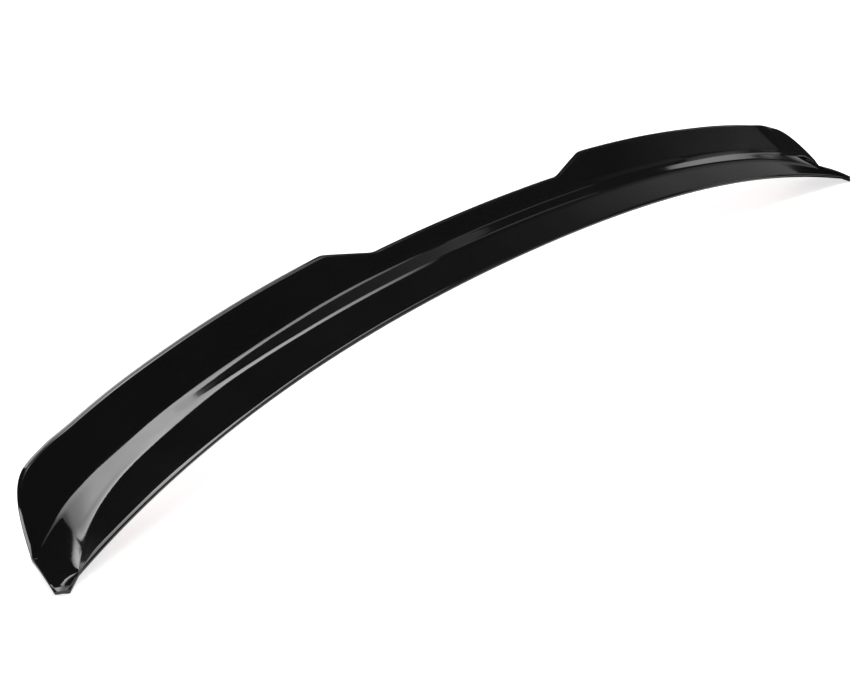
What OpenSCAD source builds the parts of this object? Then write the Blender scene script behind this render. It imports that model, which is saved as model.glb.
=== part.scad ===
// Boot-lid lip spoiler: a moulded shell with a low flange, a cove and a raised blade.
// X runs across the lid, Y towards the rear, Z up. The origin is the foot of the front edge at mid-span.
// All sizes are in millimetres.

/* [Front edge] */
// Distance from the middle at which the bow and the fall of the front edge are measured
half_span = 650; // [500:5:800]
// Forward bow of the front edge at that distance, its even part
bow_even = 36; // [0:1:80]
// Forward bow of the front edge at that distance, the part that gathers near the ends
bow_end = 20; // [0:1:60]
// Fall of the front edge at that distance, its even part
fall_even = 49; // [0:1:90]
// Fall of the front edge at that distance, the part that gathers near the ends
fall_end = 25; // [0:1:60]
// Height of the front edge
nose_h = 3.5; // [2.6:0.1:5]

/* [Section] */
// Depth of the flange, from the front edge to the crease under the cove
flange_w = 41.1; // [30:0.1:60]
// Rise of the flange over that depth
flange_rise = 10.7; // [4:0.1:16]
// Depth of the cove
cove_w = 14.1; // [8:0.1:24]
// Rise of the cove
cove_rise = 8.15; // [4:0.05:14]
// Depth of the blade, from the cove to its rear arris
blade_w = 34.5; // [22:0.1:50]
// Rise of the blade
blade_rise = 28.6; // [18:0.05:45]
// Width of the land along the top of the blade
top_land = 5.3; // [2.4:0.1:8]
// Depth of the seat, from the front edge to the rear foot
seat_w = 60; // [50:0.5:80]
// Fall of the seat over that depth
seat_fall = 2; // [0:0.1:6]
// Length over which the crease under the cove is eased, to each side
flange_ease = 5.5; // [0.5:0.1:8]
// Length over which the crease under the blade is eased, to each side
blade_ease = 6; // [0.5:0.1:8]
// Length over which the front edge is rounded
nose_ease = 1.35; // [0.4:0.05:1.6]
// Length over which that rounding runs out into the flange
nose_run = 3.6; // [1:0.1:8]
// Length over which the two arrises of the blade are rounded
top_ease = 1.5; // [0.4:0.05:2]
// Length over which the rounding of the front arris runs out into the blade
top_run = 2.6; // [0.5:0.1:6]
// Length over which the rear foot is rounded
foot_ease = 1; // [0.3:0.1:2]

/* [Notch] */
// Height that the blade loses in the middle
notch_drop = 14.4; // [4:0.1:20]
// Depth that the blade loses in the middle
notch_pull = 16.3; // [4:0.1:20]
// Half width of the lowered middle, at the foot of the ramps
notch_in = 154.7; // [80:0.1:220]
// Length of each ramp
ramp_len = 59.8; // [30:0.1:120]
// Rounding of the ramp's two corners, as a share of its length
ramp_ease = 0.035; // [0.02:0.005:0.2]

/* [Ends] */
// Distance from the end of the half span to the corner of the front edge
corner_in = 19; // [10:0.5:40]
// Distance from the end of the half span to the front corner of the snub end
tip_in = 5.6; // [2:0.1:9]
// How far the snub end's front corner lies ahead of the line of the front edge
tip_fore = 2.6; // [0:0.1:5]
// How far the snub end's front corner droops below the line of the front edge
tip_droop = 2.6; // [0:0.1:8]
// Depth of the ear where the blade meets it
ear_w = 44; // [30:0.1:55]
// Height of the ear's upper face there, above the foot of the front edge
ear_h = 5.7; // [2.6:0.1:8]
// Thickness of the ear there
ear_t = 3.8; // [2.4:0.1:6]
// Depth of the snub end
snub_w = 6.4; // [4:0.1:12]
// Height of the snub end's upper rear corner, above the foot of the front edge
snub_h = 4; // [2.4:0.1:6]
// Thickness of the snub end at its rear corner
snub_t = 2.6; // [2:0.1:5]
// Outward slant of the ear's root
ear_slant = 14; // [0:0.1:20]
// Outward slant of the snub end
snub_slant = 11.5; // [4:0.1:20]
// Length over which the slant sets in
slant_run = 83; // [50:1:120]
// Height of the arch in the ear's rear edge
ear_arch = 1.4; // [0:0.1:4]
// Length over which the flange runs out towards the corner
flange_run = 158; // [60:1:220]
// Length over which the crease under the blade comes down to the ear
crease_run = 116; // [60:1:140]
// Gap between that crease and the ear's rear edge, at the root of the ear
crease_gap = 2.2; // [0.8:0.1:4]
// Length over which the top of the blade curves down to the ear
blade_run = 46; // [36:0.5:80]
// Rise of the blade's top towards the ends
blade_crown = 1.1; // [0:0.1:4]
// Length over which it rises
crown_run = 110; // [60:5:200]
// Fall of the blade's top before it curves down
blade_sag = 4.1; // [0:0.1:10]
// Distance from the corner at which that fall starts
sag_in = 59; // [45:1:90]
// Length of that fall
sag_run = 36; // [20:1:60]
// How far the blade's rear arris flares back near the ends
blade_flare = 1.4; // [0:0.1:6]
// Length over which it flares
flare_run = 50; // [30:1:80]
// Distance from the corner at which the hollow starts to close
close_in = 41; // [38:0.5:60]
// Length over which the hollow closes
close_run = 36; // [28:0.5:38]

/* [Wall] */
// Wall thickness over the hollow underside
wall = 3; // [2:0.1:4.5]
// Width of the lips that frame the tape channels
lip_w = 4; // [2.5:0.1:6]
// Depth of the tape channels
channel_d = 0.9; // [0.4:0.05:1.2]
// Side gap between a tape and the edge of its channel
tape_gap = 0.6; // [0.2:0.05:1.2]
// Thickness of the ledge along the rear foot
ledge_t = 3; // [2:0.1:4]
// Distance between two cross ribs, which stiffen the flange and the cove
rib_pitch = 90; // [60:1:150]
// Thickness of a cross rib
rib_t = 2.2; // [1.5:0.1:3.5]
// Draft of a rib over its height, to each side
rib_draft = 0.45; // [0.2:0.05:1]
// Height of the ribs' lower edge above the tape channels
rib_lift = 2; // [0.5:0.1:4]
// Depth of the shallow relief under the ears
ear_relief = 0.3; // [0.2:0.05:0.8]

/* [Tape] */
// Width of the foam tapes
tape_w = 9.4; // [6:0.1:10.5]
// Thickness of the foam tapes
tape_t = 1.1; // [0.6:0.05:1.6]
// Distance from the end of the half span to the outer ends of the tapes
tape_in = 60; // [55:1:160]
// Gap between the two tapes of a row at the middle
tape_split = 24; // [6:1:60]
// Thickness of the release liners
liner_t = 0.15; // [0.08:0.01:0.3]

/* [Hidden] */
corner_x = half_span - corner_in;
tip_x = half_span - tip_in;
notch_out = notch_in + ramp_len;
flange_y = flange_w;
flange_z = nose_h + flange_rise;
cove_y = flange_y + cove_w;
cove_z = flange_z + cove_rise;
top_y = cove_y + blade_w;
top_z = cove_z + blade_rise;
sag_x = corner_x - sag_in;
close_x = corner_x - close_in;
channel_w = tape_w + 2 * tape_gap;
front_in = lip_w + 0.6;
front_out = front_in + channel_w;
rear_out = seat_w - lip_w - 0.6;
rear_in = rear_out - channel_w;
step = 30;

// Small helpers
function clamp(v) = max(0, min(1, v));
function smooth(v) = let (t = clamp(v)) t * t * (3 - 2 * t);
function mix(a, b, t) = a + (b - a) * t;
function toward(a, b, d) = a + (b - a) * d / max(norm(b - a), 0.001);
function soft(v) = v > 12 * ramp_ease ? v : ramp_ease * ln(1 + exp(v / ramp_ease));
function cross2(a, b) = a[0] * b[1] - a[1] * b[0];
// Where the line through a and b meets the line through c and d
function meet(a, b, c, d) = a + (b - a) * cross2(c - a, d - c) / cross2(b - a, d - c);
// A line moved square to itself, to the right of its run
function beside(a, b, d) =
    let (n = [b[1] - a[1], a[0] - b[0]] / norm(b - a)) [a + n * d, b + n * d];
// The corner b between a and c, eased over one length towards a and one towards c, as n points
function bend(a, b, c, ease, run, n) =
    let (
        p = toward(b, a, min(ease, 0.45 * norm(a - b))),
        q = toward(b, c, min(run, 0.45 * norm(c - b)))
    )
    [for (i = [0 : n - 1]) let (t = i / (n - 1)) mix(mix(p, b, t), mix(b, q, t), t)];

// How far a station has come along the ear, 0 at its root and 1 at the snub end
function ear(x) = clamp((x - corner_x) / (tip_x - corner_x));
// Foot of the front edge at a station
function front(x) =
    let (u = x / half_span, e = ear(x))
    [
        -bow_even * pow(u, 2) - bow_end * pow(u, 4) - tip_fore * e,
        -fall_even * pow(u, 2) - fall_end * pow(u, 4) - tip_droop * e
    ];
// Outward slant of a station, at its rear end
function slant(x) =
    ear_slant * smooth((x - corner_x + slant_run) / slant_run) + (snub_slant - ear_slant) * ear(x);
// 0 in the notch and 1 on the full blade
function ramp(x) =
    let (t = (x - notch_in) / ramp_len) clamp(soft(t) - soft(t - 1));

// Rear end of the ear's upper face
function ear_end(x) =
    let (e = ear(x)) mix([ear_w, ear_h], [snub_w, snub_h], e) + [0, 4 * ear_arch * e * (1 - e)];
// Crease between flange and cove
function flange_end(x) =
    let (
        c = clamp((x - corner_x + flange_run) / flange_run),
        y = max(flange_y * (1 - pow(c, 3) * (1 + c) / 2), 0.25 * snub_w)
    )
    [y, nose_h + flange_rise * y / flange_y];
// Crease between cove and blade
function cove_end(x) =
    let (
        k = clamp((x - corner_x + crease_run) / crease_run),
        e = ear_end(x)
    )
    [mix(cove_y, e[0] - crease_gap, pow(k, 2.7)), mix(cove_z, e[1] - 0.05, pow(k, 5))];
// Rear arris of the blade
function blade_top(x) =
    let (
        s = x + slant(x),
        sag = blade_sag * smooth((s - sag_x) / sag_run),
        crown = blade_crown * smooth((x - corner_x + 2 * crown_run) / crown_run),
        flare = blade_flare * smooth((s - sag_x + flare_run / 4) / flare_run),
        full = [top_y + flare, top_z + crown - sag],
        mid = [top_y - notch_pull, top_z - notch_drop],
        r = clamp((x - corner_x + blade_run) / blade_run)
    )
    mix(mix(mid, full, ramp(x)), ear_end(x), pow(r, 3));
// Front arris of the blade
function blade_front(x) =
    let (
        t = blade_top(x),
        v = cove_end(x),
        land = top_land * max(0.28, min(1, (t[0] - v[0]) / top_land / 1.6)) * mix(0.85, 1, ramp(x))
    )
    x > corner_x - blade_run
        ? [max(t[0] - land, v[0] + 0.5), max(t[1] + 0.12 * land, v[1] + 0.05)]
        : [t[0] - land, t[1] + 0.12 * land];
// Rear foot
function rear_foot(x) =
    let (k = pow(clamp((x - close_x) / (corner_x - close_x)), 1.5))
    mix([seat_w, -seat_fall], ear_end(x) - [0.2, mix(ear_t, snub_t, ear(x))], k);
// Height of the seat at a depth
function seat(x, y) = let (r = rear_foot(x)) r[1] * y / r[0];

// Outer skin of a station, from the lip behind the front edge over the top to the rear lip
function skin(x) =
    let (
        r = rear_foot(x),
        lip = min(lip_w, 0.3 * r[0]),
        s0 = [lip, seat(x, lip)],
        a = [0, 0],
        b = [0, nose_h],
        v2 = flange_end(x),
        v1 = cove_end(x),
        t1 = blade_front(x),
        t2b = blade_top(x),
        t2 = [max(t2b[0], t1[0] + 0.5), t2b[1]],
        near = 0.2 * v2[0],
        e = [r[0] - lip, seat(x, r[0] - lip)]
    )
    concat(
        [s0],
        bend(s0, a, b, nose_ease, nose_ease, 3),
        bend(a, b, v2, nose_ease, min(nose_run, near), 3),
        bend(b, v2, v1, min(flange_ease, near), flange_ease, 4),
        bend(v2, v1, t1, blade_ease, blade_ease, 4),
        bend(v1, t1, t2, top_run, top_ease, 3),
        bend(t1, t2, r, top_ease, top_ease, 3),
        bend(t2, r, e, foot_ease, foot_ease, 2),
        [e]
    );

// Underside of a station from front to rear: channel, hollow, ledge and channel
function hollow(x, rib) =
    let (
        v2 = flange_end(x),
        v1 = cove_end(x),
        t1 = blade_front(x),
        t2 = blade_top(x),
        r = rear_foot(x),
        fl = beside([0, nose_h], v2, wall),
        cv = beside(v2, v1, wall),
        bl = beside(v1, t1, wall),
        rr = beside(t2, r, wall),
        roof = front_out + 1.2,
        low = channel_d + rib_lift,
        apex = meet(bl[0], bl[1], rr[0], rr[1]),
        ledge_z = seat(x, rear_in) + channel_d + ledge_t,
        heel = meet(rr[0], rr[1], [0, ledge_z], [10, ledge_z]),
        open = [
            [roof, meet(fl[0], fl[1], [roof, 0], [roof, 1])[1]],
            meet(fl[0], fl[1], cv[0], cv[1]),
            meet(cv[0], cv[1], bl[0], bl[1]),
            toward(apex, bl[0], 2.5),
            toward(apex, rr[1], 2.5),
            heel
        ],
        ribbed = [for (i = [0 : 5]) let (y = open[i][0]) i < 2 ? [y, seat(x, y) + low] : open[i]]
    )
    concat(
        [[front_in, seat(x, front_in) + channel_d], [front_out, seat(x, front_out) + channel_d]],
        rib ? ribbed : open,
        [
            [rear_in, ledge_z],
            [rear_in, seat(x, rear_in) + channel_d],
            [rear_out, seat(x, rear_out) + channel_d]
        ]
    );
// The same number of points along the shallow relief under an ear
function relief(x) =
    let (r = rear_foot(x)[0], lip = min(lip_w, 0.3 * r) + 0.07 * min(9, r))
    [for (i = [0 : 10]) let (y = mix(lip, r - lip, pow(i / 10, 0.6))) [y, seat(x, y) + ear_relief]];
function underside(x, rib) =
    let (c = smooth((x - close_x) / close_run))
    c >= 1 ? relief(x)
    : c <= 0 ? hollow(x, rib)
    : let (a = hollow(x, false), b = relief(x)) [for (i = [0 : 10]) mix(a[i], b[i], c)];

// A section point placed in space, for a station at a signed distance
function placed(s, p) =
    let (
        x = abs(s),
        f = front(x),
        w = max(blade_top(x)[0], rear_foot(x)[0]),
        out = x + slant(x) * min(1, p[0] / w)
    )
    [s < 0 ? -out : out, f[0] + p[0], f[1] + p[1]];

// Stations as [distance, on a rib], sorted outwards
rib_x = [for (x = [rib_pitch / 2 : rib_pitch : close_x - 12]) x];
rib_half = rib_t / 2 + rib_draft;
function clear(x) = len([for (r = rib_x) if (abs(x - r) < rib_half + 2) r]) == 0;
function sorted(v) =
    len(v) < 2 ? v
    : let (m = v[floor(len(v) / 2)][0])
    concat(
        sorted([for (i = v) if (i[0] < m) i]),
        [for (i = v) if (i[0] == m) i],
        sorted([for (i = v) if (i[0] > m) i])
    );
plain_x = concat(
    [for (x = [step : step : notch_in - 10]) x],
    [for (t = [-0.14, -0.06, 0, 0.06, 0.14, 0.5, 0.86, 0.94, 1, 1.06, 1.14]) notch_in + t * ramp_len],
    [for (x = [notch_out + step : step : close_x - 16]) x],
    [for (d = [0, 0.195, 0.366, 0.512, 0.634, 0.732, 0.829, 0.902, 0.961]) close_x + d * close_in],
    [for (e = [0, 0.3, 0.65, 1]) mix(corner_x, tip_x, e)]
);
half_stations = sorted(concat(
    [for (x = plain_x) if (clear(x)) [x, false]],
    [for (x = rib_x) each [
        [x - rib_half, false], [x - rib_t / 2, true], [x + rib_t / 2, true], [x + rib_half, false]
    ]]
));
count = len(half_stations);
stations = concat(
    [for (i = [count - 1 : -1 : 0]) [-half_stations[i][0], half_stations[i][1]]],
    [[0, false]],
    half_stations
);

// Closed skin over a list of loops with the same number of points, its diagonals mirrored from a row on
function tube_faces(rows, n, turn) = [
    for (i = [0 : rows - 2], j = [0 : n - 1])
        let (a = i * n + j, b = i * n + (j + 1) % n)
        each i < turn ? [[a, b, b + n], [a, b + n, a + n]] : [[a, b, a + n], [b, b + n, a + n]]
];
// End face between the outer points and the inner points of a loop
function end_faces(first, no, ni, flip) = [
    for (i = [0 : no - 2])
        let (
            m = round(i * (ni - 1) / (no - 1)),
            k = round((i + 1) * (ni - 1) / (no - 1)),
            a = first + i,
            b = first + i + 1,
            c = first + no + ni - 1 - k,
            d = first + no + ni - 1 - m
        )
        each concat(
            [flip ? [c, b, a] : [a, b, c]],
            k > m ? [flip ? [d, c, a] : [a, c, d]] : []
        )
];
function backwards(v) = [for (i = [len(v) - 1 : -1 : 0]) v[i]];

module spoiler_shell() {
    no = len(skin(0));
    ni = 11;
    n = no + ni;
    loops = [
        for (s = stations)
            let (x = abs(s[0]))
            [for (p = concat(skin(x), backwards(underside(x, s[1])))) placed(s[0], p)]
    ];
    color("#151516")
        polyhedron(
            points = [for (l = loops) each l],
            faces = concat(
                tube_faces(len(loops), n, count),
                end_faces(0, no, ni, true),
                end_faces((len(loops) - 1) * n, no, ni, false)
            ),
            convexity = 8
        );
}

// A flat strip in a channel, between two depths, below a level over the seat
module strip(y0, level, thick, side) {
    low = tape_split / 2;
    high = half_span - tape_in + 0.01;
    inner = [for (s = half_stations) if (s[0] > low && s[0] <= high) s[0]];
    xs = concat([low], inner);
    run = side > 0 ? xs : [for (x = backwards(xs)) -x];
    loops = [
        for (s = run)
            let (
                x = abs(s),
                a = [y0, seat(x, y0) + level],
                b = [y0 + tape_w, seat(x, y0 + tape_w) + level],
                f = x > low ? front(x) : mix(front(0), front(half_stations[0][0]), x / half_stations[0][0])
            )
            [for (p = [a, b, b - [0, thick], a - [0, thick]]) [s, f[0] + p[0], f[1] + p[1]]]
    ];
    last = (len(loops) - 1) * 4;
    polyhedron(
        points = [for (l = loops) each l],
        faces = concat(
            tube_faces(len(loops), 4, side > 0 ? 0 : len(loops)),
            [[2, 1, 0], [3, 2, 0]],
            [[last, last + 1, last + 2], [last, last + 2, last + 3]]
        ),
        convexity = 4
    );
}
module tape(y0, side) {
    color("#3a3a3c") strip(y0, channel_d, tape_t, side);
}
module liner(y0, side) {
    color("#b3201f") strip(y0, channel_d - tape_t, liner_t, side);
}
module tape_front_left() { tape(front_in + tape_gap, 1); }
module tape_front_right() { tape(front_in + tape_gap, -1); }
module tape_rear_left() { tape(rear_in + tape_gap, 1); }
module tape_rear_right() { tape(rear_in + tape_gap, -1); }
module liner_front_left() { liner(front_in + tape_gap, 1); }
module liner_front_right() { liner(front_in + tape_gap, -1); }
module liner_rear_left() { liner(rear_in + tape_gap, 1); }
module liner_rear_right() { liner(rear_in + tape_gap, -1); }

spoiler_shell();
tape_front_left();
tape_front_right();
tape_rear_left();
tape_rear_right();
liner_front_left();
liner_front_right();
liner_rear_left();
liner_rear_right();
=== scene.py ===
import math

import bpy
from mathutils import Matrix, Vector


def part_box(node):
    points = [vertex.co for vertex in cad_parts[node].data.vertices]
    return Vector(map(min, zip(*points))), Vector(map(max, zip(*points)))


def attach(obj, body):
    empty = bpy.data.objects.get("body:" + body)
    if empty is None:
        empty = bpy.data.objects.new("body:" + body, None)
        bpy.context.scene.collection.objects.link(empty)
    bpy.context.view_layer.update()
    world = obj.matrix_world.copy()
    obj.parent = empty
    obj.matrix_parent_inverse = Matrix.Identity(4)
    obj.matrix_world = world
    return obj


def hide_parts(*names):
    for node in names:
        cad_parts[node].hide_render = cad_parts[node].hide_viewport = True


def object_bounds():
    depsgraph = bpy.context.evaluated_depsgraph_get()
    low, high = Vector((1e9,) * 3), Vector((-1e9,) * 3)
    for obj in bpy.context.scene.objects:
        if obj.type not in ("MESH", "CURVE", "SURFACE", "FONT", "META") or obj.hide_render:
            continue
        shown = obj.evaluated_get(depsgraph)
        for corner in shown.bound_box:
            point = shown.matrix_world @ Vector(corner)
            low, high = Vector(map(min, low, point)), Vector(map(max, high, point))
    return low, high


# The spoiler's shell as a finer mesh of the form in part.scad, by the same formulas and sizes,
# with the materials, the floor, the studio light and the camera at the photograph's angle.

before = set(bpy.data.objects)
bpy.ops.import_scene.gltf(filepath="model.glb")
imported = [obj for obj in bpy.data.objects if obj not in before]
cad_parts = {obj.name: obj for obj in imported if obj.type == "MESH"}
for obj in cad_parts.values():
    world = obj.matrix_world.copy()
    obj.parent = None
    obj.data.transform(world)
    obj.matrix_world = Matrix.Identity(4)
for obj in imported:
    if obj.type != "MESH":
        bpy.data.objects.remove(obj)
cad_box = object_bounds()
SCENE = bpy.context.scene
MM = 0.001

# ---------------------------------------------------------------- sizes of the form, in millimetres
HALF = 650.0
BOW_EVEN, BOW_END = 36.0, 20.0
FALL_EVEN, FALL_END = 49.0, 25.0
NOSE = 3.5
FLANGE_W, FLANGE_RISE = 41.1, 10.7
COVE_W, COVE_RISE = 14.1, 8.15
BLADE_W, BLADE_RISE = 34.5, 28.6
TOP_LAND = 5.3
SEAT_W, SEAT_FALL = 60.0, 2.0
FLANGE_EASE, BLADE_EASE, TOP_EASE, TOP_RUN = 5.5, 6.0, 1.5, 2.6
NOSE_EASE, NOSE_RUN, FOOT_EASE = 1.35, 3.6, 1.0
NOTCH_DROP, NOTCH_PULL = 14.4, 16.3
NOTCH_IN, RAMP_LEN, RAMP_EASE = 154.7, 59.8, 0.035
CORNER, TIP = HALF - 19.0, HALF - 5.6
TIP_FORE, TIP_DROOP = 2.6, 2.6
EAR_W, EAR_H, EAR_T = 44.0, 5.7, 3.8
SNUB_W, SNUB_H, SNUB_T = 6.4, 4.0, 2.6
EAR_SLANT, SNUB_SLANT, SLANT_RUN, EAR_ARCH = 14.0, 11.5, 83.0, 1.4
FLANGE_RUN, CREASE_RUN, CREASE_GAP = 158.0, 116.0, 2.2
BLADE_RUN, BLADE_CROWN, CROWN_RUN = 46.0, 1.1, 110.0
BLADE_SAG, SAG_IN, SAG_RUN, BLADE_FLARE, FLARE_RUN = 4.1, 59.0, 36.0, 1.4, 50.0
CLOSE_IN, CLOSE_RUN = 41.0, 36.0
WALL, LIP_W, CHANNEL_D, TAPE_GAP = 3.0, 4.0, 0.9, 0.6
LEDGE_T, RIB_PITCH, RIB_T, RIB_DRAFT, RIB_LIFT, EAR_RELIEF = 3.0, 90.0, 2.2, 0.45, 2.0, 0.3
TAPE_W = 9.4
# Shares, least gaps and powers of the section's formulas
LAND_LEAST, LAND_FADE, LAND_NOTCH, LAND_RISE = 0.28, 1.6, 0.85, 0.12
LAND_STEP, SEAM, REAR_TUCK, FLANGE_LEAST = 0.5, 0.05, 0.2, 0.25
EASE_SHARE, NEAR_SHARE, LIP_SHARE = 0.45, 0.2, 0.3
CHANNEL_INSET, ROOF_GAP, APEX_CUT = 0.6, 1.2, 2.5
CREASE_POWER_Y, CREASE_POWER_Z, CLOSE_POWER = 2.7, 5, 1.5
RELIEF_IN, RELIEF_REACH, RELIEF_POWER, RELIEF_STEPS = 0.07, 9.0, 0.6, 10
FLANGE_Z = NOSE + FLANGE_RISE
COVE_Y, COVE_Z = FLANGE_W + COVE_W, FLANGE_Z + COVE_RISE
TOP_Y, TOP_Z = COVE_Y + BLADE_W, COVE_Z + BLADE_RISE
SAG_X, CLOSE_X = CORNER - SAG_IN, CORNER - CLOSE_IN
CHANNEL_W = TAPE_W + 2 * TAPE_GAP
FRONT_IN = LIP_W + CHANNEL_INSET
FRONT_OUT = FRONT_IN + CHANNEL_W
REAR_OUT = SEAT_W - LIP_W - CHANNEL_INSET
REAR_IN = REAR_OUT - CHANNEL_W

# ---------------------------------------------------------------- fineness of the mesh
# Points round each eased corner of the outer skin, and on the face that leads up to it
CORNER_POINTS = (6, 10, 11, 11, 9, 7, 5)
FACE_POINTS = (1, 1, 7, 5, 8, 1, 7)
UNDER_EASE, UNDER_POINTS = 0.7, 3
# First and last place and step of the stations, finest at the ramps of the blade and in the ears
STATIONS = (
    (7, 145, 7), (145, 224, 2.0), (224, 540, 7), (540, 596, 3.5), (596, CORNER, 1.4),
    (CORNER, TIP, 1.2),
)
RIB_CLEAR, RIB_END = 1.2, 12
SHARP_ANGLE = 34.0


# ---------------------------------------------------------------- the form
def clamp(v):
    return max(0.0, min(1.0, v))


def smooth(v):
    t = clamp(v)
    return t * t * (3 - 2 * t)


def mix(a, b, t):
    if isinstance(a, (int, float)):
        return a + (b - a) * t
    return (a[0] + (b[0] - a[0]) * t, a[1] + (b[1] - a[1]) * t)


def dist(a, b):
    return math.hypot(b[0] - a[0], b[1] - a[1])


def toward(a, b, d):
    return mix(a, b, d / max(dist(a, b), 0.001))


def soft(v):
    return v if v > 12 * RAMP_EASE else RAMP_EASE * math.log(1 + math.exp(v / RAMP_EASE))


def meet(a, b, c, d):
    """Where the line through a and b meets the line through c and d."""
    den = (b[0] - a[0]) * (d[1] - c[1]) - (b[1] - a[1]) * (d[0] - c[0])
    t = ((c[0] - a[0]) * (d[1] - c[1]) - (c[1] - a[1]) * (d[0] - c[0])) / den
    return mix(a, b, t)


def beside(a, b, d):
    """A line moved square to itself, to the right of its run."""
    n = ((b[1] - a[1]) / dist(a, b), (a[0] - b[0]) / dist(a, b))
    return (a[0] + n[0] * d, a[1] + n[1] * d), (b[0] + n[0] * d, b[1] + n[1] * d)


def bend(a, b, c, ease, run, n):
    """The corner b between a and c as n points, eased over one length towards each."""
    p = toward(b, a, min(ease, EASE_SHARE * dist(a, b)))
    q = toward(b, c, min(run, EASE_SHARE * dist(c, b)))
    return [mix(mix(p, b, i / (n - 1)), mix(b, q, i / (n - 1)), i / (n - 1)) for i in range(n)]


def ear(x):
    """How far a station has come along the ear, 0 at its root and 1 at the snub end."""
    return clamp((x - CORNER) / (TIP - CORNER))


def front(x):
    """Foot of the front edge at a station."""
    u, e = x / HALF, ear(x)
    return (
        -BOW_EVEN * u**2 - BOW_END * u**4 - TIP_FORE * e,
        -FALL_EVEN * u**2 - FALL_END * u**4 - TIP_DROOP * e,
    )


def slant(x):
    """Outward slant of a station, at its rear end."""
    strip = EAR_SLANT * smooth((x - CORNER + SLANT_RUN) / SLANT_RUN)
    return strip + (SNUB_SLANT - EAR_SLANT) * ear(x)


def ramp(x):
    """0 in the notch and 1 on the full blade."""
    t = (x - NOTCH_IN) / RAMP_LEN
    return clamp(soft(t) - soft(t - 1))


def ear_end(x):
    """Rear end of the ear's upper face."""
    e = ear(x)
    y, z = mix((EAR_W, EAR_H), (SNUB_W, SNUB_H), e)
    return (y, z + 4 * EAR_ARCH * e * (1 - e))


def flange_end(x):
    """Crease between flange and cove."""
    c = clamp((x - CORNER + FLANGE_RUN) / FLANGE_RUN)
    y = max(FLANGE_W * (1 - c**3 * (1 + c) / 2), FLANGE_LEAST * SNUB_W)
    return (y, NOSE + FLANGE_RISE * y / FLANGE_W)


def cove_end(x):
    """Crease between cove and blade."""
    k = clamp((x - CORNER + CREASE_RUN) / CREASE_RUN)
    e = ear_end(x)
    y = mix(COVE_Y, e[0] - CREASE_GAP, k**CREASE_POWER_Y)
    return (y, mix(COVE_Z, e[1] - SEAM, k**CREASE_POWER_Z))


def blade_top(x):
    """Rear arris of the blade."""
    s = x + slant(x)
    sag = BLADE_SAG * smooth((s - SAG_X) / SAG_RUN)
    crown = BLADE_CROWN * smooth((x - CORNER + 2 * CROWN_RUN) / CROWN_RUN)
    flare = BLADE_FLARE * smooth((s - SAG_X + FLARE_RUN / 4) / FLARE_RUN)
    full = (TOP_Y + flare, TOP_Z + crown - sag)
    mid = (TOP_Y - NOTCH_PULL, TOP_Z - NOTCH_DROP)
    r = clamp((x - CORNER + BLADE_RUN) / BLADE_RUN)
    return mix(mix(mid, full, ramp(x)), ear_end(x), r**3)


def blade_front(x):
    """Front arris of the blade."""
    t, v = blade_top(x), cove_end(x)
    fade = max(LAND_LEAST, min(1.0, (t[0] - v[0]) / TOP_LAND / LAND_FADE))
    land = TOP_LAND * fade * mix(LAND_NOTCH, 1, ramp(x))
    p = (t[0] - land, t[1] + LAND_RISE * land)
    return (max(p[0], v[0] + LAND_STEP), max(p[1], v[1] + SEAM)) if x > CORNER - BLADE_RUN else p


def rear_foot(x):
    """Rear end of the seat."""
    k = clamp((x - CLOSE_X) / (CORNER - CLOSE_X)) ** CLOSE_POWER
    y, z = ear_end(x)
    return mix((SEAT_W, -SEAT_FALL), (y - REAR_TUCK, z - mix(EAR_T, SNUB_T, ear(x))), k)


def seat(x, y):
    """Height of the seat at a depth."""
    r = rear_foot(x)
    return r[1] * y / r[0]


def between(a, b, n):
    """n points between a and b, gathered towards both ends."""
    out = []
    for i in range(1, n + 1):
        t = i / (n + 1)
        out.append(mix(a, b, 0.5 - 0.5 * math.cos(math.pi * t)))
    return out


def skin(x):
    """Outer skin of a station from the lip behind the front edge over the top to the rear lip."""
    r = rear_foot(x)
    lip = min(LIP_W, LIP_SHARE * r[0])
    s0, a, b = (lip, seat(x, lip)), (0.0, 0.0), (0.0, NOSE)
    v2, v1, t1, t2 = flange_end(x), cove_end(x), blade_front(x), blade_top(x)
    t2 = (max(t2[0], t1[0] + LAND_STEP), t2[1])
    e = (r[0] - lip, seat(x, r[0] - lip))
    near = NEAR_SHARE * v2[0]
    corners = (
        (s0, a, b, NOSE_EASE, NOSE_EASE),
        (a, b, v2, NOSE_EASE, min(NOSE_RUN, near)),
        (b, v2, v1, min(FLANGE_EASE, near), FLANGE_EASE),
        (v2, v1, t1, BLADE_EASE, BLADE_EASE),
        (v1, t1, t2, TOP_RUN, TOP_EASE),
        (t1, t2, r, TOP_EASE, TOP_EASE),
        (t2, r, e, FOOT_EASE, FOOT_EASE),
    )
    out = [s0]
    for corner, count, face_count in zip(corners, CORNER_POINTS, FACE_POINTS):
        part = bend(*corner, count)
        out += between(out[-1], part[0], face_count) + part
    return out + [e]


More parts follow.
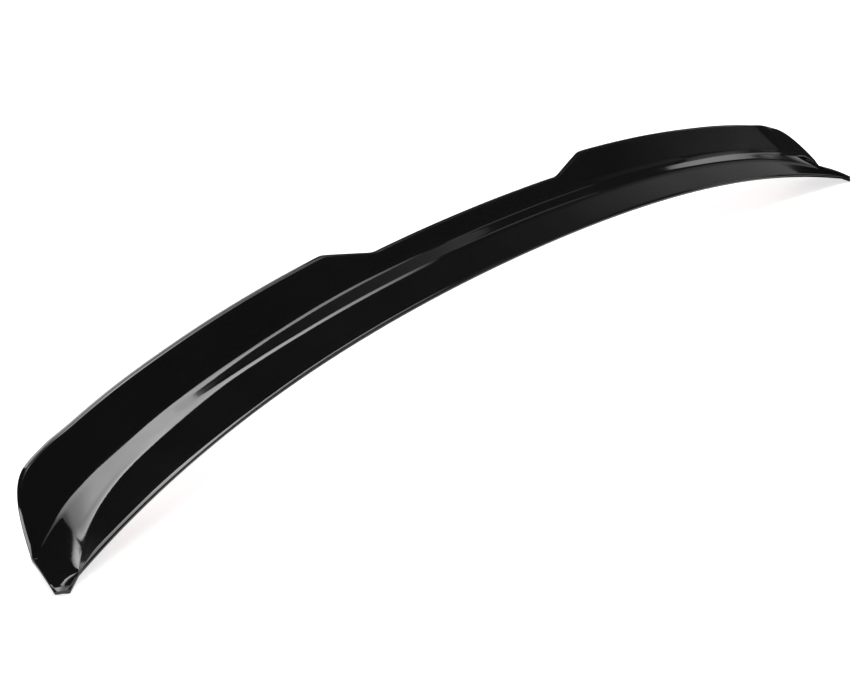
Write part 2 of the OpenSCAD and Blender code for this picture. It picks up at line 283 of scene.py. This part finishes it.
def hollow(x, rib):
    """Underside of a station from front to rear: channel, hollow, ledge and channel."""
    v2, v1, t1, t2, r = flange_end(x), cove_end(x), blade_front(x), blade_top(x), rear_foot(x)
    flange, cove = beside((0.0, NOSE), v2, WALL), beside(v2, v1, WALL)
    blade, rear = beside(v1, t1, WALL), beside(t2, r, WALL)
    roof = FRONT_OUT + ROOF_GAP
    apex = meet(*blade, *rear)
    ledge_z = seat(x, REAR_IN) + CHANNEL_D + LEDGE_T
    heel = meet(*rear, (0.0, ledge_z), (10.0, ledge_z))
    mid = [
        (roof, meet(*flange, (roof, 0.0), (roof, 1.0))[1]),
        meet(*flange, *cove), meet(*cove, *blade),
        toward(apex, blade[0], APEX_CUT), toward(apex, rear[1], APEX_CUT), heel,
    ]
    if rib:
        mid[:2] = [(y, seat(x, y) + CHANNEL_D + RIB_LIFT) for y, z in mid[:2]]
    ends = [(y, seat(x, y) + CHANNEL_D) for y in (FRONT_IN, FRONT_OUT, REAR_IN, REAR_OUT)]
    return ends[:2] + mid + [(REAR_IN, ledge_z)] + ends[2:]


def relief(x):
    """The same number of points along the shallow relief under an ear."""
    r = rear_foot(x)[0]
    lip = min(LIP_W, LIP_SHARE * r) + RELIEF_IN * min(RELIEF_REACH, r)
    ys = [mix(lip, r - lip, (i / RELIEF_STEPS) ** RELIEF_POWER) for i in range(RELIEF_STEPS + 1)]
    return [(y, seat(x, y) + EAR_RELIEF) for y in ys]


def underside(x, rib):
    c = smooth((x - CLOSE_X) / CLOSE_RUN)
    if c >= 1:
        return relief(x)
    if c <= 0:
        return hollow(x, rib)
    return [mix(p, q, c) for p, q in zip(hollow(x, False), relief(x))]


def eased_underside(x, rib, first, last):
    """The underside with its corners eased as moulded plastic has them."""
    pts = [first] + underside(x, rib) + [last]
    out = []
    for i in range(1, len(pts) - 1):
        out += bend(pts[i - 1], pts[i], pts[i + 1], UNDER_EASE, UNDER_EASE, UNDER_POINTS)
    return out


def placed(s, p):
    """A section point in space, in metres, for a station at a signed distance."""
    x = abs(s)
    f = front(x)
    w = max(blade_top(x)[0], rear_foot(x)[0])
    out = x + slant(x) * min(1.0, p[0] / w)
    return ((-out if s < 0 else out) * MM, (f[0] + p[0]) * MM, (f[1] + p[1]) * MM)


def spread(a, b, step):
    n = max(1, math.ceil((b - a) / step))
    return [a + (b - a) * i / n for i in range(n)]


def shell_stations():
    """Signed distances of the stations, each with whether a rib fills it."""
    ribs = []
    x = RIB_PITCH / 2
    while x < CLOSE_X - RIB_END:
        ribs.append(x)
        x += RIB_PITCH
    half = RIB_T / 2 + RIB_DRAFT
    plain = [x for start, end, step in STATIONS for x in spread(start, end, step)] + [TIP]
    rows = [(x, False) for x in plain if all(abs(x - r) > half + RIB_CLEAR for r in ribs)]
    for r in ribs:
        rows += [(r - half, False), (r - RIB_T / 2, True), (r + RIB_T / 2, True), (r + half, False)]
    rows.sort()
    return [(-x, f) for x, f in reversed(rows)] + [(0.0, False)] + rows


def mesh_object(name, verts, faces, mats, marks=None):
    me = bpy.data.meshes.new(name)
    me.from_pydata(verts, [], faces)
    me.update()
    for m in mats:
        me.materials.append(m)
    if marks:
        me.polygons.foreach_set("material_index", marks)
    me.polygons.foreach_set("use_smooth", [True] * len(me.polygons))
    me.set_sharp_from_angle(angle=math.radians(SHARP_ANGLE))
    o = bpy.data.objects.new(name, me)
    SCENE.collection.objects.link(o)
    return o


def build_shell(mats):
    """The shell as one closed mesh: outer skin in the first material, the rest in the second."""
    rows = shell_stations()
    loops = []
    for s, rib in rows:
        top = skin(abs(s))
        loops.append((top, eased_underside(abs(s), rib, top[0], top[-1])))
    outer, inner = len(loops[0][0]), len(loops[0][1])
    n = outer + inner
    low_corner, high_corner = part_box("spoiler_shell")
    verts = []
    for (s, _), (top, low) in zip(rows, loops):
        for point in top + low[::-1]:
            # Held inside the CAD node's box, whose coarser points stop just short of these
            held = zip(placed(s, point), low_corner, high_corner)
            verts.append(tuple(min(max(c, least), most) for c, least, most in held))
    faces, marks = [], []
    for i in range(len(rows) - 1):
        for j in range(n):
            a, b = i * n + j, i * n + (j + 1) % n
            faces.append((b, a, a + n, b + n))
            marks.append(0 if j < outer - 1 else 1)
    # The two snub ends, between the outer skin and the underside
    for first, flip in ((0, True), ((len(rows) - 1) * n, False)):
        for i in range(outer - 1):
            m, k = (round(j * (inner - 1) / (outer - 1)) for j in (i, i + 1))
            a, b, c, d = first + i, first + i + 1, first + n - 1 - k, first + n - 1 - m
            f = (a, b, c, d) if k > m else (a, b, c)
            faces.append(f if flip else f[::-1])
            marks.append(0)
    return mesh_object("moulded_shell", verts, faces, mats, marks)


# ---------------------------------------------------------------- materials
def new_material(name):
    m = bpy.data.materials.new(name)
    m.use_nodes = True
    t = m.node_tree
    return m, t.nodes, t.links, t.nodes["Principled BSDF"]


# The part of a noise's range that tones and roughness are spread over
NOISE_SPAN = (0.3, 0.7)


def noise(nodes, links, scale, detail=3.0, rough=0.5, stretch=None):
    """Noise over the object's own coordinates."""
    c = nodes.new("ShaderNodeTexCoord")
    out = c.outputs["Object"]
    if stretch:
        m = nodes.new("ShaderNodeMapping")
        m.inputs["Scale"].default_value = stretch
        links.new(out, m.inputs["Vector"])
        out = m.outputs["Vector"]
    n = nodes.new("ShaderNodeTexNoise")
    n.inputs["Scale"].default_value = scale
    n.inputs["Detail"].default_value = detail
    n.inputs["Roughness"].default_value = rough
    links.new(out, n.inputs["Vector"])
    return n.outputs["Fac"]


def remap(nodes, links, value, low, high):
    """A noise turned into a number between two others."""
    r = nodes.new("ShaderNodeMapRange")
    r.inputs["From Min"].default_value, r.inputs["From Max"].default_value = NOISE_SPAN
    r.inputs["To Min"].default_value = low
    r.inputs["To Max"].default_value = high
    links.new(value, r.inputs["Value"])
    return r.outputs["Result"]


def two_tones(nodes, links, value, dark, light):
    """A noise turned into a colour between two tones."""
    r = nodes.new("ShaderNodeValToRGB")
    for stop, place, tone in zip(r.color_ramp.elements, NOISE_SPAN, (dark, light)):
        stop.position, stop.color = place, (*tone, 1.0)
    links.new(value, r.inputs["Fac"])
    return r.outputs["Color"]


def bump(nodes, links, height, strength, distance, under=None):
    b = nodes.new("ShaderNodeBump")
    b.inputs["Strength"].default_value = strength
    b.inputs["Distance"].default_value = distance
    links.new(height, b.inputs["Height"])
    if under is not None:
        links.new(under, b.inputs["Normal"])
    return b.outputs["Normal"]


def gloss_black():
    """The polished outer skin: faint orange peel, shallow sink waves, uneven roughness."""
    m, nodes, links, p = new_material("gloss_black_plastic")
    p.inputs["IOR"].default_value = 1.5
    cloud = noise(nodes, links, 9.0, 4.0)
    tone = two_tones(nodes, links, cloud, (0.0046, 0.0046, 0.0048), (0.0064, 0.0064, 0.0067))
    links.new(tone, p.inputs["Base Color"])
    links.new(remap(nodes, links, noise(nodes, links, 30.0), 0.035, 0.06), p.inputs["Roughness"])
    peel = noise(nodes, links, 420.0, 2.0, 0.5, (0.6, 1.0, 1.0))
    sink = noise(nodes, links, 14.0, 1.0, 0.4, (0.35, 1.0, 1.0))
    waves = bump(nodes, links, sink, 0.05, 0.0010)
    links.new(bump(nodes, links, peel, 0.03, 0.0002, waves), p.inputs["Normal"])
    return m


def moulded_black():
    """The unpolished inner side of the moulding: fine grain with flow streaks."""
    m, nodes, links, p = new_material("moulded_inner_side")
    streaks = noise(nodes, links, 7.0, 4.0, 0.6, (0.3, 1.0, 1.0))
    tone = two_tones(nodes, links, streaks, (0.010, 0.010, 0.0105), (0.018, 0.018, 0.019))
    links.new(tone, p.inputs["Base Color"])
    grain = noise(nodes, links, 1600.0, 3.0, 0.7)
    links.new(remap(nodes, links, noise(nodes, links, 60.0), 0.42, 0.6), p.inputs["Roughness"])
    links.new(bump(nodes, links, grain, 0.35, 0.0002), p.inputs["Normal"])
    return m


def foam():
    """The tapes: matt foam with fine cells."""
    m, nodes, links, p = new_material("acrylic_foam")
    cells = noise(nodes, links, 2600.0, 2.0, 0.6)
    tone = two_tones(nodes, links, cells, (0.035, 0.035, 0.037), (0.065, 0.065, 0.069))
    links.new(tone, p.inputs["Base Color"])
    p.inputs["Roughness"].default_value = 0.92
    links.new(bump(nodes, links, cells, 0.6, 0.0003), p.inputs["Normal"])
    return m


def film():
    """The release liners: thin red film with long ripples."""
    m, nodes, links, p = new_material("release_film")
    cloud = noise(nodes, links, 22.0, 3.0, 0.5, (0.25, 1.0, 1.0))
    tone = two_tones(nodes, links, cloud, (0.42, 0.014, 0.012), (0.56, 0.028, 0.022))
    links.new(tone, p.inputs["Base Color"])
    rough = remap(nodes, links, noise(nodes, links, 90.0, 2.0), 0.22, 0.38)
    links.new(rough, p.inputs["Roughness"])
    ripple = noise(nodes, links, 60.0, 2.0, 0.5, (0.5, 1.0, 1.0))
    links.new(bump(nodes, links, ripple, 0.25, 0.0006), p.inputs["Normal"])
    return m


# ---------------------------------------------------------------- pieces
shell = build_shell([gloss_black(), moulded_black()])
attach(shell, "root")
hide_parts("spoiler_shell")

FOAM, FILM = foam(), film()
for name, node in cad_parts.items():
    if name.startswith(("tape_", "liner_")):
        mat = FOAM if name.startswith("tape_") else FILM
        if not node.material_slots:
            node.data.materials.append(mat)
        for s in node.material_slots:
            s.material = mat


# ---------------------------------------------------------------- floor
FLOOR_HALF, FLOOR_GAP, FLOOR_LIFT = 40.0, 0.0005, 0.68
FLOOR_Z = cad_box[0][2] - FLOOR_GAP


def math_node(nodes, links, operation, value):
    """A maths node with its first input linked; its second is left to the caller."""
    n = nodes.new("ShaderNodeMath")
    n.operation = operation
    links.new(value, n.inputs[0])
    return n


def floor_material():
    """Pale and matt. Camera, glossy and transmitted rays see it lifted towards white."""
    m, nodes, links, p = new_material("pale_floor")
    p.inputs["Base Color"].default_value = (0.8, 0.8, 0.8, 1.0)
    p.inputs["Roughness"].default_value = 0.9
    p.inputs["Specular IOR Level"].default_value = 0.1
    path = nodes.new("ShaderNodeLightPath")
    seen = math_node(nodes, links, "MAXIMUM", path.outputs["Is Camera Ray"])
    links.new(path.outputs["Is Glossy Ray"], seen.inputs[1])
    through = math_node(nodes, links, "MAXIMUM", seen.outputs[0])
    links.new(path.outputs["Is Transmission Ray"], through.inputs[1])
    lift = math_node(nodes, links, "MULTIPLY", through.outputs[0])
    lift.inputs[1].default_value = FLOOR_LIFT
    glow = nodes.new("ShaderNodeEmission")
    links.new(lift.outputs[0], glow.inputs["Strength"])
    add = nodes.new("ShaderNodeAddShader")
    links.new(p.outputs[0], add.inputs[0])
    links.new(glow.outputs[0], add.inputs[1])
    links.new(add.outputs[0], nodes["Material Output"].inputs["Surface"])
    return m


floor_corners = [(-1, -1), (1, -1), (1, 1), (-1, 1)]
floor_verts = [(FLOOR_HALF * x, FLOOR_HALF * y, FLOOR_Z) for x, y in floor_corners]
floor = mesh_object("floor", floor_verts, [(0, 1, 2, 3)], [floor_material()])


# ---------------------------------------------------------------- light
# Height of a ray, as the sine of its angle, where the world goes from pale to dark
WORLD_EDGE = (0.21, 0.25)
WORLD_PALE, WORLD_DARK, WORLD_FILL = 1.0, 0.03, 0.40
CARD_Z, LINE_Z = 2.2, 2.19


def studio_world():
    """Pale up to about 14 degrees, dark above; diffuse rays see an even, weak fill."""
    world = bpy.data.worlds.new("studio")
    SCENE.world = world
    world.use_nodes = True
    nodes, links = world.node_tree.nodes, world.node_tree.links
    bg = nodes["Background"]
    bg.inputs["Color"].default_value = (1.0, 1.0, 1.0, 1.0)
    tex = nodes.new("ShaderNodeTexCoord")
    sep = nodes.new("ShaderNodeSeparateXYZ")
    links.new(tex.outputs["Generated"], sep.inputs[0])
    band = nodes.new("ShaderNodeMapRange")
    band.inputs["From Min"].default_value, band.inputs["From Max"].default_value = WORLD_EDGE
    band.inputs["To Min"].default_value = WORLD_PALE
    band.inputs["To Max"].default_value = WORLD_DARK
    links.new(sep.outputs["Z"], band.inputs["Value"])
    path = nodes.new("ShaderNodeLightPath")
    pick = nodes.new("ShaderNodeMix")
    pick.data_type = "FLOAT"
    links.new(path.outputs["Is Diffuse Ray"], pick.inputs["Factor"])
    links.new(band.outputs["Result"], pick.inputs["A"])
    pick.inputs["B"].default_value = WORLD_FILL
    links.new(pick.outputs["Result"], bg.inputs["Strength"])


def glow_material():
    """Gives off the radiance that a card carries at its corners."""
    m, nodes, links, p = new_material("softbox_cloth")
    nodes.remove(p)
    at = nodes.new("ShaderNodeAttribute")
    at.attribute_name = "glow"
    e = nodes.new("ShaderNodeEmission")
    links.new(at.outputs["Fac"], e.inputs["Strength"])
    links.new(e.outputs[0], nodes["Material Output"].inputs["Surface"])
    return m


def card(name, verts, faces, glow):
    """A card with a radiance at each corner, which the camera doesn't see."""
    o = mesh_object(name, verts, faces, [GLOW])
    a = o.data.attributes.new("glow", "FLOAT", "POINT")
    a.data.foreach_set("value", glow)
    o.visible_camera = False
    return o


def overhead(name, height, rows):
    """A level card. Each row is x, its two edges in y, and the radiance at each edge."""
    verts, glow = [], []
    for x, y0, y1, g0, g1 in rows:
        verts += [(x, y0, height), (x, y1, height)]
        glow += [g0, g1]
    faces = [(2 * i, 2 * i + 1, 2 * i + 3, 2 * i + 2) for i in range(len(rows) - 1)]
    return card(name, verts, faces, glow)


def upright(name, a, b, z0, z1, glow):
    """A standing card between two points in plan, with the radiance at its four corners."""
    verts = [(*a, z0), (*b, z0), (*b, z1), (*a, z1)]
    return card(name, verts, [(0, 1, 2, 3)], glow)


# Softboxes over the part, and fainter haze and walls that its ends and its blade mirror. Their rows
# put the highlights where the photograph has them. They were set by hand and rounded, after tables
# in which a scratch script had traced the photograph's tones back through the part's reflections.
OVERHEAD = (
    ("box_core", CARD_Z, [
        (-1.05, -0.12, 0.08, 0.7, 0.7), (-0.75, -0.08, 0.16, 1.0, 1.2),
        (-0.50, -0.12, 0.24, 1.8, 1.5), (-0.42, -0.17, 0.40, 3.2, 1.2),
        (-0.34, -0.19, 0.44, 3.8, 1.0), (-0.285, -0.20, 0.45, 4.2, 1.7),
        (-0.245, -0.21, 0.44, 4.4, 2.1), (-0.213, -0.22, 0.43, 4.5, 2.4),
        (-0.183, -0.23, 0.42, 4.6, 2.8), (-0.15, -0.24, 0.40, 4.7, 3.1),
        (-0.08, -0.265, 0.38, 4.9, 3.3), (0.04, -0.315, 0.35, 5.3, 3.8),
        (0.12, -0.345, 0.34, 5.5, 4.4), (0.20, -0.38, 0.34, 5.8, 5.6),
        (0.32, -0.44, 0.34, 6.3, 7.6), (0.40, -0.50, 0.34, 7.2, 8.6),
        (0.50, -0.575, 0.34, 8.2, 8.0), (0.60, -0.63, 0.34, 8.6, 7.4),
    ]),
    ("box_rim", CARD_Z, [
        (-0.285, 0.45, 0.451, 1.7, 1.8), (-0.26, 0.445, 0.505, 2.0, 2.8),
        (-0.245, 0.44, 0.53, 2.1, 3.4), (-0.213, 0.43, 0.545, 2.4, 4.0),
        (-0.183, 0.42, 0.55, 2.8, 6.0), (-0.15, 0.40, 0.573, 3.1, 7.5),
        (-0.08, 0.38, 0.59, 3.3, 9.0), (0.04, 0.35, 0.62, 3.8, 9.0), (0.12, 0.34, 0.655, 4.4, 10.0),
        (0.20, 0.34, 0.69, 5.6, 10.5), (0.32, 0.34, 0.69, 7.6, 9.6), (0.40, 0.34, 0.65, 8.6, 8.6),
        (0.50, 0.34, 0.595, 8.0, 7.2), (0.60, 0.34, 0.515, 7.4, 6.8),
    ]),
    ("box_rear_arm", CARD_Z, [
        (0.60, -0.19, 0.515, 6.5, 7.2), (0.695, -0.165, 0.455, 6.4, 8.0),
        (0.715, -0.10, 0.445, 6.4, 8.0), (0.745, -0.03, 0.43, 6.6, 8.0),
        (0.79, 0.04, 0.42, 7.0, 8.2), (0.85, 0.10, 0.45, 7.2, 8.0), (0.92, 0.16, 0.48, 7.2, 7.9),
        (0.98, 0.20, 0.51, 6.8, 7.8), (1.20, 0.325, 0.62, 6.0, 6.8), (1.42, 0.355, 0.67, 4.6, 5.2),
        (1.60, 0.395, 0.71, 3.6, 3.8), (1.82, 0.43, 0.735, 2.0, 2.2), (2.02, 0.454, 0.76, 0.1, 0.1),
    ]),
    ("box_front_arm", CARD_Z, [
        (0.60, -0.63, -0.19, 8.6, 6.6), (0.695, -0.635, -0.165, 8.4, 6.6),
        (0.715, -0.63, -0.20, 8.4, 6.6), (0.80, -0.59, -0.20, 7.0, 7.2),
        (0.90, -0.555, -0.225, 5.6, 7.6), (1.08, -0.515, -0.285, 4.6, 7.2),
        (1.27, -0.53, -0.315, 5.0, 5.0), (1.48, -0.585, -0.355, 4.4, 3.6),
        (1.64, -0.59, -0.37, 3.2, 3.0), (1.80, -0.56, -0.37, 2.0, 1.8),
        (1.98, -0.50, -0.38, 0.3, 0.3),
    ]),
    ("box_corner", CARD_Z, [
        (-0.85, 0.95, 1.00, 1.0, 3.0), (-0.78, 0.905, 1.00, 1.4, 7.5),
        (-0.66, 0.815, 0.945, 1.3, 10.5), (-0.60, 0.77, 0.905, 1.2, 11.5),
        (-0.42, 0.62, 0.79, 1.3, 11.5), (-0.34, 0.54, 0.735, 1.6, 10.5),
        (-0.285, 0.45, 0.69, 1.8, 8.5), (-0.26, 0.505, 0.67, 3.0, 8.0),
        (-0.235, 0.56, 0.655, 5.0, 7.5), (-0.20, 0.615, 0.63, 6.5, 6.5),
    ]),
    ("box_haze", CARD_Z, [
        (0.85, -0.21, 0.10, 0.06, 0.06), (1.20, -0.30, 0.31, 0.09, 0.09),
        (1.60, -0.36, 0.385, 0.16, 0.16), (1.95, -0.36, 0.42, 0.27, 0.27),
        (2.10, -0.30, 0.34, 0.42, 0.42), (2.22, -0.18, 0.22, 0.42, 0.42),
        (2.30, -0.04, 0.06, 0.3, 0.3),
    ]),
    ("haze_rear_line", CARD_Z, [
        (2.10, 0.28, 0.42, 0.5, 0.5), (2.50, 0.30, 0.48, 0.45, 0.45), (3.20, 0.40, 0.60, 0.2, 0.2),
    ]),
    ("haze_front_line", CARD_Z, [
        (2.10, -0.40, -0.24, 0.6, 0.6), (2.50, -0.36, -0.22, 0.5, 0.5),
        (3.10, -0.36, -0.22, 0.25, 0.25),
    ]),
    ("box_far", CARD_Z, [
        (3.86, 0.07, 0.12, 1.2, 1.2), (4.00, 0.01, 0.22, 1.8, 1.8),
        (4.28, -0.055, 0.30, 1.95, 1.95), (4.70, -0.31, 0.32, 1.7, 1.75),
        (5.05, -0.33, 0.35, 1.0, 1.5), (5.30, -0.20, 0.38, 0.3, 0.9),
    ]),
    ("haze_far", CARD_Z, [
        (4.05, -0.62, -0.03, 0.20, 0.35), (4.28, -0.85, -0.06, 0.22, 0.50),
        (4.70, -1.10, -0.315, 0.25, 0.55), (4.92, -1.20, -0.335, 0.2, 0.2),
    ]),
    ("far_line", LINE_Z, [
        (5.40, 0.25, 0.36, 1.0, 1.0), (5.50, 0.33, 0.45, 1.0, 1.0), (5.62, 0.44, 0.56, 0.06, 0.06),
        (5.95, 0.61, 0.73, 0.06, 0.06), (6.20, 0.72, 0.84, 0.25, 0.25),
        (7.20, 1.10, 1.26, 0.55, 0.55), (8.30, 1.50, 1.72, 0.7, 0.7), (10.6, 2.30, 2.60, 0.8, 0.8),
    ]),
    ("wall_rear", CARD_Z, [
        (2.40, 0.62, 1.90, 0.02, 0.05), (3.20, 0.62, 2.10, 0.04, 0.10),
        (3.84, 0.64, 2.30, 0.09, 0.20), (4.70, 0.72, 2.70, 0.16, 0.32),
        (6.06, 0.90, 3.20, 0.20, 0.30), (8.69, 1.30, 4.40, 0.22, 0.33),
        (11.0, 1.70, 5.60, 0.24, 0.36),
    ]),
    ("wall_front", CARD_Z, [
        (3.50, -1.62, -1.10, 0.03, 0.02), (4.28, -1.68, -1.14, 0.18, 0.11),
        (4.42, -1.66, -1.15, 0.20, 0.13), (5.06, -1.52, -1.22, 0.26, 0.16),
    ]),
    ("haze_front", CARD_Z, [
        (3.20, -1.05, -0.45, 0.04, 0.08), (3.80, -1.08, -0.42, 0.10, 0.14),
        (4.04, -1.10, -0.65, 0.14, 0.20),
    ]),
)
# Two standing softboxes and two black cards: both ends in plan, foot, top, radiance at the corners
UPRIGHT = (
    ("low_rear_box", (-0.75, 4.1), (4.2, 5.6), 1.25, 4.2, (4.7, 1.3, 1.3, 4.7)),
    ("low_left_box", (-3.55, 0.5), (-2.80, 2.0), 0.30, 1.05, (6.0, 6.0, 6.0, 6.0)),
    ("black_flag", (8.9, 0.4), (7.6, 4.6), 0.80, 1.65, (0.0, 0.0, 0.0, 0.0)),
    ("low_flag", (3.0, 0.0), (2.3, 2.2), FLOOR_Z + 0.001, 0.44, (0.0, 0.0, 0.0, 0.0)),
)
FLAG_ON_FLOOR = ((0.55, -0.10), (3.0, -0.10), (2.4, 2.2), (0.55, 0.30))

studio_world()
GLOW = glow_material()
for name, height, rows in OVERHEAD:
    overhead(name, height, rows)
low_flag = [upright(*row) for row in UPRIGHT][-1]
flag_verts = [(x, y, FLOOR_Z + 0.0002) for x, y in FLAG_ON_FLOOR]
floor_flag = card("floor_flag", flag_verts, [(0, 1, 2, 3)], [0.0] * 4)
for o in (low_flag, floor_flag):
    o.visible_diffuse = o.visible_shadow = False

# ---------------------------------------------------------------- camera
# Place and angles were fitted to the outline in the photograph
CAM_AT = Vector((-1.2566, -0.9727, 0.6498))
YAW, PITCH = math.radians(48.74), math.radians(25.61)
PHOTO_W, FOCAL_PX, SENSOR_MM = 857, 1600.0, 36.0
cam_data = bpy.data.cameras.new("camera")
cam_data.sensor_fit = "HORIZONTAL"
cam_data.sensor_width = SENSOR_MM
cam_data.lens = FOCAL_PX / PHOTO_W * SENSOR_MM
cam_data.clip_start, cam_data.clip_end = 0.05, 200.0
cam = bpy.data.objects.new("camera", cam_data)
fwd = Vector((math.sin(YAW) * math.cos(PITCH), math.cos(YAW) * math.cos(PITCH), -math.sin(PITCH)))
right = Vector((math.cos(YAW), -math.sin(YAW), 0.0))
up = right.cross(fwd)
rot = Matrix((right, up, -fwd)).transposed()
cam.matrix_world = Matrix.Translation(CAM_AT) @ rot.to_4x4()
SCENE.collection.objects.link(cam)
SCENE.camera = cam

SCENE.view_settings.view_transform = "Standard"
